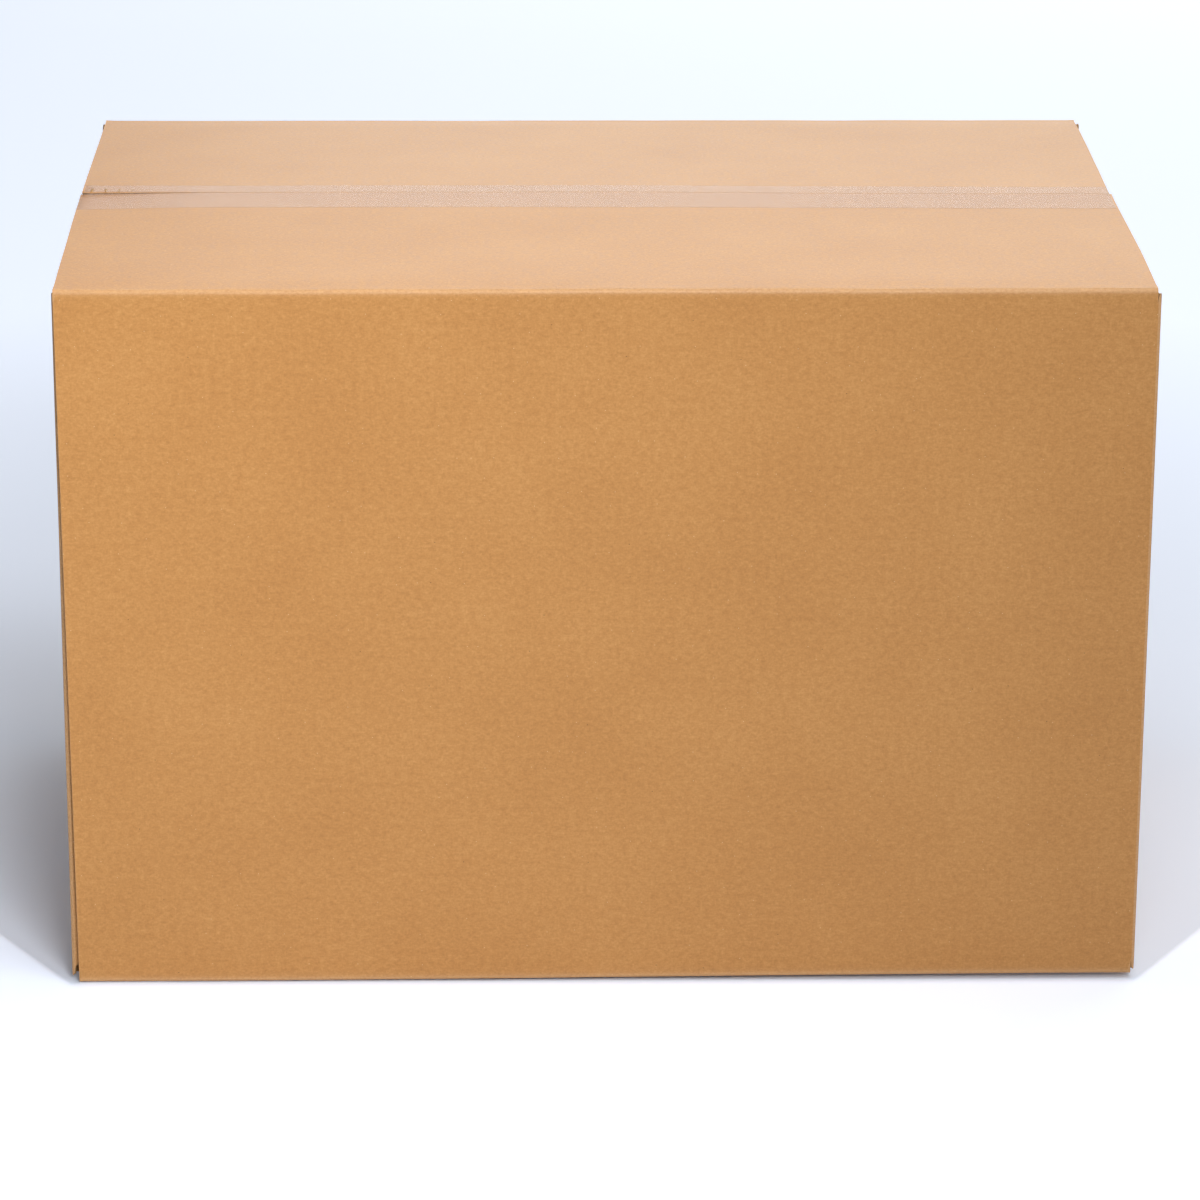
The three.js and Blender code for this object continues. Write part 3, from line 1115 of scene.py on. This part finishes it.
@dataclass(frozen=True)
class PackingTape:
    """Clear polypropylene packing tape: a drawn film, faintly pink over the board, finely lined along it."""

    name: str = "clear_polypropylene_tape"
    tint: str = "#EADCD8"
    cover: float = 0.12
    roughness: float = 0.30
    roughness_spread: tuple[float, float] = (-0.02, 0.03)
    blotch_size: float = 9 * MM
    line_width: float = 1.6 * MM
    line_stretch: float = 0.05
    relief_strength: float = 0.05
    relief_depth: float = 0.06 * MM

    def build(self) -> Material:
        """Makes the material.

        Returns:
            The film's material, which lets most of what is behind it through.
        """
        material = new_material(self.name)
        tree = material.node_tree
        film = add_node(tree, "ShaderNodeUVMap", {"uv_map": "FilmUV"}).outputs[0]
        drawn = add_node(
            tree, "ShaderNodeMapping", inputs={"Vector": film, "Scale": (self.line_stretch, 1, 1)}
        ).outputs[0]
        lines, blotches = (
            add_node(
                tree, "ShaderNodeTexNoise", inputs={"Vector": place, "Scale": 1 / size, "Detail": 3}
            ).outputs["Fac"]
            for place, size in ((drawn, self.line_width), (film, self.blotch_size))
        )
        bump = add_node(
            tree, "ShaderNodeBump",
            inputs={"Strength": self.relief_strength, "Distance": self.relief_depth, "Height": lines},
        ).outputs[0]
        shine = map_range(
            tree, blotches, NOISE_RANGE, tuple(self.roughness + change for change in self.roughness_spread)
        )
        finish_material(tree, {
            "Base Color": linear(self.tint), "Roughness": shine, "IOR": 1.49,
            "Alpha": self.cover, "Normal": bump,
        })
        return material


@dataclass
class Fluting:
    """The fluted layer where a cut across the flutes shows it: a paper wave between the two liners."""

    blank: FoldedBlank
    paper: float = 0.25 * MM
    depth: float = 7 * MM
    recess: float = 0.2 * MM
    steps_per_flute: int = 10

    def build(self, name: str, cut: Cut, finish: Material) -> Object:
        """Makes the wave along one cut edge.

        Args:
            name: The piece's name.
            cut: The edge that it follows.
            finish: The wave's material.

        Returns:
            The wave as a plain mesh.
        """
        holder = path_object(name, cut.points - cut.outwards * (self.depth / 2 + self.recess))
        board = self.blank.board
        values = {
            "Pitch": board.flute_pitch,
            "Height": board.thickness - 2 * board.liner - self.paper,
            "Depth": self.depth,
            "Paper": self.paper,
            "Step": board.flute_pitch / self.steps_per_flute,
            "Finish": finish,
        }
        return realised(holder, self._tree(), values)

    @staticmethod
    def _tree() -> NodeTree:
        """Builds the node tree that turns a path into a paper wave."""
        tree = bpy.data.node_groups.new("paper_wave", "GeometryNodeTree")
        source = open_tree(tree, ["Pitch", "Height", "Depth", "Paper", "Step"])
        given = source.outputs
        curve = add_node(tree, "GeometryNodeMeshToCurve", inputs={"Mesh": given["Geometry"]})
        even = add_node(
            tree, "GeometryNodeResampleCurve", {"mode": "LENGTH"},
            {"Curve": curve.outputs[0], "Length": given["Step"]},
        )
        along = add_node(tree, "GeometryNodeSplineParameter").outputs["Length"]
        turns = math_node(tree, "DIVIDE", along, given["Pitch"])
        wave = math_node(tree, "SINE", math_node(tree, "MULTIPLY", turns, math.tau))
        height = math_node(tree, "MULTIPLY", wave, math_node(tree, "MULTIPLY", given["Height"], 0.5))
        offset = add_node(tree, "ShaderNodeCombineXYZ", inputs={"Z": height}).outputs[0]
        waved = add_node(
            tree, "GeometryNodeSetPosition", inputs={"Geometry": even.outputs[0], "Offset": offset}
        ).outputs[0]
        upright = add_node(tree, "GeometryNodeSetCurveNormal", {"mode": "Z_UP"}, {"Curve": waved}).outputs[0]
        section = add_node(
            tree, "GeometryNodeCurvePrimitiveQuadrilateral", {"mode": "RECTANGLE"},
            {"Width": given["Depth"], "Height": given["Paper"]},
        )
        ribbon = add_node(
            tree, "GeometryNodeCurveToMesh",
            inputs={"Curve": upright, "Profile Curve": section.outputs[0], "Fill Caps": True},
        )
        close_tree(tree, source, ribbon.outputs[0])
        return tree


@dataclass
class EdgeFibres:
    """Loose paper fibres that the knives leave standing along a cut edge."""

    seed: int = 4
    spacing: float = 1.5 * MM
    length: float = 0.9 * MM
    radius: float = 0.045 * MM
    tip_radius: float = 0.01 * MM
    smallest: float = 0.3
    sideways: float = 0.7 * MM
    upwards: float = 0.12 * MM
    liner_place: float = 1.85 * MM
    rooted: float = 0.1 * MM

    def build(self, name: str, cuts: list[Cut], finish: Material) -> Object:
        """Makes the fibres along several edges.

        Args:
            name: The piece's name.
            cuts: The edges that carry them.
            finish: The fibres' material.

        Returns:
            The fibres as a plain mesh.
        """
        lines = []
        for cut in cuts:
            for face in (-self.liner_place, self.liner_place):
                lines.append(cut.points + cut.across * face - cut.outwards * self.rooted)
        holder = path_object(name, *lines)
        values = {
            "Spacing": self.spacing,
            "Length": self.length,
            "Radius": self.radius,
            "Seed": self.seed,
            "Finish": finish,
        }
        fibres = realised(holder, self._tree(), values)
        for vertex in fibres.data.vertices:
            vertex.co.z = max(vertex.co.z, self.radius)
        return fibres

    def _tree(self) -> NodeTree:
        """Builds the node tree that scatters fibres along paths."""
        tree = bpy.data.node_groups.new("cut_edge_fibres", "GeometryNodeTree")
        source = open_tree(tree, ["Spacing", "Length", "Radius"], whole=["Seed"])
        curve = add_node(tree, "GeometryNodeMeshToCurve", inputs={"Mesh": source.outputs["Geometry"]})
        points = add_node(
            tree, "GeometryNodeCurveToPoints", {"mode": "LENGTH"},
            {"Curve": curve.outputs[0], "Length": source.outputs["Spacing"]},
        )
        seed = source.outputs["Seed"]
        reach = Vector((self.sideways, self.sideways, self.upwards))
        jitter, turn = (
            add_node(
                tree, "FunctionNodeRandomValue", {"data_type": "FLOAT_VECTOR"},
                {"Min": low, "Max": high, "Seed": seed},
            ).outputs["Value"]
            for low, high in ((-reach, reach), ((0, 0, 0), (math.tau, math.tau, math.tau)))
        )
        spread = add_node(
            tree, "GeometryNodeSetPosition", inputs={"Geometry": points.outputs["Points"], "Offset": jitter}
        )
        size = add_node(
            tree, "FunctionNodeRandomValue", {"data_type": "FLOAT"}, {2: self.smallest, 3: 1.0, "Seed": seed}
        )
        fibre = add_node(
            tree, "GeometryNodeMeshCone",
            inputs={"Vertices": 4, "Side Segments": 1, "Fill Segments": 1,
                    "Radius Top": self.tip_radius, "Radius Bottom": source.outputs["Radius"],
                    "Depth": source.outputs["Length"]},
        )
        placed = add_node(
            tree, "GeometryNodeInstanceOnPoints",
            inputs={"Points": spread.outputs[0], "Instance": fibre.outputs[0],
                    "Rotation": turn, "Scale": size.outputs[1]},
        )
        close_tree(tree, source, placed.outputs[0])
        return tree


def open_tree(
    tree: NodeTree, sizes: list[str], whole: list[str] | None = None
) -> Node:
    """Gives a geometry tree its named inputs and its output.

    Args:
        tree: The new tree.
        sizes: Names of its lengths.
        whole: Names of its whole numbers.

    Returns:
        The group's input node.
    """
    tree.interface.new_socket("Geometry", in_out="INPUT", socket_type="NodeSocketGeometry")
    for name in sizes:
        tree.interface.new_socket(name, in_out="INPUT", socket_type="NodeSocketFloat")
    for name in whole or []:
        tree.interface.new_socket(name, in_out="INPUT", socket_type="NodeSocketInt")
    tree.interface.new_socket("Finish", in_out="INPUT", socket_type="NodeSocketMaterial")
    tree.interface.new_socket("Geometry", in_out="OUTPUT", socket_type="NodeSocketGeometry")
    return add_node(tree, "NodeGroupInput")


def close_tree(tree: NodeTree, source: Node, made: NodeSocket) -> None:
    """Ends a geometry tree in real, finished geometry.

    Args:
        tree: The tree.
        source: Its input node.
        made: The geometry that it made.
    """
    real = add_node(tree, "GeometryNodeRealizeInstances", inputs={"Geometry": made})
    dressed = add_node(
        tree, "GeometryNodeSetMaterial",
        inputs={"Geometry": real.outputs[0], "Material": source.outputs["Finish"]},
    )
    add_node(tree, "NodeGroupOutput", inputs={"Geometry": dressed.outputs[0]})


def path_object(name: str, *lines: np.ndarray) -> Object:
    """Makes an object that holds only paths, as chains of edges.

    Args:
        name: The object's name.
        lines: The points of each path.

    Returns:
        The object, linked to the scene.
    """
    points = [tuple(point) for line in lines for point in line]
    edges = []
    start = 0
    for line in lines:
        edges += [(start + step, start + step + 1) for step in range(len(line) - 1)]
        start += len(line)
    mesh = bpy.data.meshes.new(name)
    mesh.from_pydata(points, edges, [])
    return link_object(name, mesh)


def realised(
    holder: Object, tree: NodeTree, values: dict[str, object]
) -> Object:
    """Runs a geometry tree on an object and keeps the result as its plain mesh.

    Args:
        holder: The object that the tree works on.
        tree: The geometry tree.
        values: Its inputs by name.

    Returns:
        The same object with the made mesh and no modifier.
    """
    modifier = holder.modifiers.new(tree.name, "NODES")
    modifier.node_group = tree
    for item in tree.interface.items_tree:
        if item.item_type == "SOCKET" and item.in_out == "INPUT" and item.name in values:
            modifier[item.identifier] = values[item.name]
    evaluated = holder.evaluated_get(bpy.context.evaluated_depsgraph_get())
    made = bpy.data.meshes.new_from_object(evaluated)
    holder.modifiers.remove(modifier)
    holder.data = made
    made.name = holder.name
    return holder


@dataclass(frozen=True)
class Softbox:
    """A rectangular lamp: where it hangs, its size, power in watts, point of aim, spread and colour."""

    name: str
    place: tuple[float, float, float]
    size: tuple[float, float]
    power: float
    aim: tuple[float, float, float] = (0.0, 0.0, 0.2)
    spread: float = 180.0
    colour: str = "#FFFFFF"

    def hang(self) -> None:
        """Hangs the lamp, which lights the carton and isn't seen itself."""
        light = bpy.data.lights.new(self.name, "AREA")
        light.shape = "RECTANGLE"
        light.size, light.size_y = self.size
        light.energy = self.power
        light.spread = math.radians(self.spread)
        light.color = linear(self.colour)[:3]
        lamp = link_object(self.name, light)
        lamp.location = self.place
        lamp.rotation_euler = (Vector(self.aim) - Vector(self.place)).to_track_quat("-Z", "Y").to_euler()
        lamp.visible_camera = False


@dataclass(frozen=True)
class Studio:
    """Pale floor, bright surround, four softboxes, a narrow beam on the front's left, and the camera.

    The floor glows a little where it is seen, which is painted light: a pool in front of the carton, from a
    line that falls back beside it and leaves the carton's shadows unlit, and more and more with the distance
    from it.
    """

    focal_length: float = 150.0
    sensor: float = 36.0
    camera_place: tuple[float, float, float] = (-0.066, -2.805, 1.107)
    pitch: float = 18.66
    yaw: float = 1.38
    roll: float = 0.28
    view_limit: float = 60.0
    floor_colour: str = "#E8F0FF"
    floor_reach: float = 9.0
    # Colour and strengths of the painted light that the floor shows in front of the carton and far off
    painted_light_colour: str = "#E6EEFF"
    front_painted_light: float = 0.42
    front_line: tuple[float, float] = (-0.196, -0.208)
    beside: tuple[float, float] = (0.3, 1.3)
    line_shift: tuple[float, float] = (0.0, 1.6)
    far_painted_light: float = 0.52
    far: tuple[float, float] = (0.12, 1.3)
    surround: str = "#F4F8FE"
    surround_seen: float = 1.0
    surround_light: float = 0.08
    lamps: tuple[Softbox, ...] = (
        Softbox("front_left_beam", (0.15, -1.6, 1.1), (0.5, 0.5), 1.9, aim=(-0.4, -0.2, 0.36), spread=60.0),
        Softbox("front_softbox", (0.15, -1.6, 1.1), (0.6, 0.6), 6.9),
        Softbox("right_softbox", (0.8, -0.9, 2.2), (0.8, 0.8), 15.0),
        Softbox("top_softbox", (0.1, 0.0, 2.4), (1.2, 1.2), 13.0),
        Softbox("lit_backdrop", (1.4, 3.3, 1.6), (4.4, 2.8), 60.0, colour="#FFFCF2"),
    )

    def build(self) -> None:
        """Sets up the floor, the world, the lamps and the camera."""
        self._floor()
        self._world()
        for lamp in self.lamps:
            lamp.hang()
        self._camera()

    def _floor(self) -> None:
        """Makes the floor, which shows pale to the camera through painted light and keeps the carton's
        shadow.
        """
        mesh = bpy.data.meshes.new("studio_floor")
        reach = self.floor_reach
        corners = [(-reach, -reach, 0), (reach, -reach, 0), (reach, reach, 0), (-reach, reach, 0)]
        mesh.from_pydata(corners, [], [(0, 1, 2, 3)])
        material = new_material("floor_with_painted_light")
        tree = material.node_tree
        paint = add_node(
            tree, "ShaderNodeBsdfPrincipled",
            inputs={"Base Color": linear(self.floor_colour), "Roughness": 0.9, "Specular IOR Level": 0.1},
        )
        place = add_node(tree, "ShaderNodeTexCoord").outputs["Object"]
        axes = add_node(tree, "ShaderNodeSeparateXYZ", inputs={0: place}).outputs
        past = map_range(tree, math_node(tree, "ABSOLUTE", axes["X"]), self.beside, self.line_shift)
        depth = math_node(tree, "SUBTRACT", axes["Y"], past)
        away = add_node(tree, "ShaderNodeVectorMath", {"operation": "LENGTH"}, {0: place}).outputs["Value"]
        # Painted light: a pool in front of the carton whose edge falls back from its corners along its
        # shadows' edges, and a rise far off
        front = map_range(tree, depth, self.front_line, (0.0, self.front_painted_light), "SMOOTHSTEP")
        far = map_range(tree, away, self.far, (0.0, self.far_painted_light))
        strength = math_node(tree, "MAXIMUM", front, far)
        painted_light = add_node(
            tree, "ShaderNodeEmission", inputs={"Color": linear(self.painted_light_colour), "Strength": strength}
        )
        seen = add_node(tree, "ShaderNodeAddShader", inputs={0: paint.outputs[0], 1: painted_light.outputs[0]})
        shown = add_node(
            tree, "ShaderNodeMixShader",
            inputs={0: seen_or_mirrored(tree), 1: paint.outputs[0], 2: seen.outputs[0]},
        )
        add_node(tree, "ShaderNodeOutputMaterial", inputs={"Surface": shown.outputs[0]})
        mesh.materials.append(material)
        floor = link_object("studio_floor", mesh)

    def _world(self) -> None:
        """Makes the surround: white where it is seen or mirrored, and soft where it lights."""
        world = bpy.data.worlds.new("studio_surround")
        world.use_nodes = True
        tree = world.node_tree
        tree.nodes.clear()
        bright, soft = (
            add_node(
                tree, "ShaderNodeBackground", inputs={"Color": linear(self.surround), "Strength": strength}
            ).outputs[0]
            for strength in (self.surround_seen, self.surround_light)
        )
        both = add_node(tree, "ShaderNodeMixShader", inputs={0: seen_or_mirrored(tree), 1: soft, 2: bright})
        add_node(tree, "ShaderNodeOutputWorld", inputs={"Surface": both.outputs[0]})
        bpy.context.scene.world = world

    def _camera(self) -> None:
        """Places the camera as the photograph was taken, apart from its straightened uprights."""
        pitch, yaw, roll = (math.radians(angle) for angle in (self.pitch, self.yaw, self.roll))
        ahead = Vector((math.sin(yaw) * math.cos(pitch), math.cos(yaw) * math.cos(pitch), -math.sin(pitch)))
        level = Vector((math.cos(yaw), -math.sin(yaw), 0))
        upright = level.cross(ahead)
        right = level * math.cos(roll) + upright * math.sin(roll)
        up = upright * math.cos(roll) - level * math.sin(roll)
        turn = Matrix((right, up, -ahead)).transposed().to_4x4()
        lens = bpy.data.cameras.new("photo_camera")
        lens.sensor_width = self.sensor
        lens.lens = self.focal_length
        lens.clip_end = self.view_limit
        camera = link_object("photo_camera", lens)
        camera.matrix_world = Matrix.Translation(self.camera_place) @ turn
        bpy.context.scene.camera = camera


def keep(piece: Object, node: str | None = None) -> None:
    """Hands a finished piece to the frame and reports it.

    Args:
        piece: The piece.
        node: The frame's solid that it stands for, if any.
    """
    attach(piece, "root")
    if node:
        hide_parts(node)
    piece.data.calc_loop_triangles()
    log.info("%s: %d triangles", piece.name, len(piece.data.loop_triangles))


def main() -> None:
    """Builds the carton, its tapes and the studio."""
    logging.basicConfig(level=logging.INFO, format="%(name)s %(message)s")
    scene = bpy.context.scene
    scene.view_settings.view_transform = "Standard"
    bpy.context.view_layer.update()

    outside = Outside.from_frame("carton", SEAM_RISE)
    board = Board()
    warp = Warp(outside)
    liner, cut_edge, film = KraftLiner().build(), CutBoard().build(), PackingTape().build()

    blank = FoldedBlank(outside, board, warp)
    keep(blank.build(liner, cut_edge), "carton")

    long_flaps = [(panel, top) for panel in ("front", "back") for top in (True, False)]
    fluting = Fluting(blank)
    for panel, top in long_flaps:
        name = f"fluting_{panel}_{'top' if top else 'bottom'}"
        keep(fluting.build(name, blank.cut_line(panel, FlapEdge(top)), cut_edge))
    ends = [blank.cut_line(panel, FlapEdge(top, side)) for panel, top in long_flaps for side in (-1, 1)]
    keep(EdgeFibres().build("cut_edge_fibres", ends, liner))

    fold_low, fold_high = blank.short_fold_height()
    right_end = blank.long_flap_inset
    top_left, bottom_left = (
        (near_end, blank.long_flap_inset) for near_end in (blank.edge_inset_top, blank.edge_inset_bottom)
    )
    top_tape = TapeStrip(
        "seam_tape_top", outside, warp, True, TOP_TAPE_MIDDLE, top_left, right_end, fold_high - TOP_FOLD_ROOM
    )
    bottom_tape = TapeStrip(
        "seam_tape_bottom", outside, warp, False, 0.0, bottom_left, right_end, fold_low + BOTTOM_FOLD_ROOM
    )
    keep(top_tape.build(film), "top_tape")
    keep(bottom_tape.build(film), "bottom_tape")

    Studio().build()


if __name__ == "__main__":
    main()
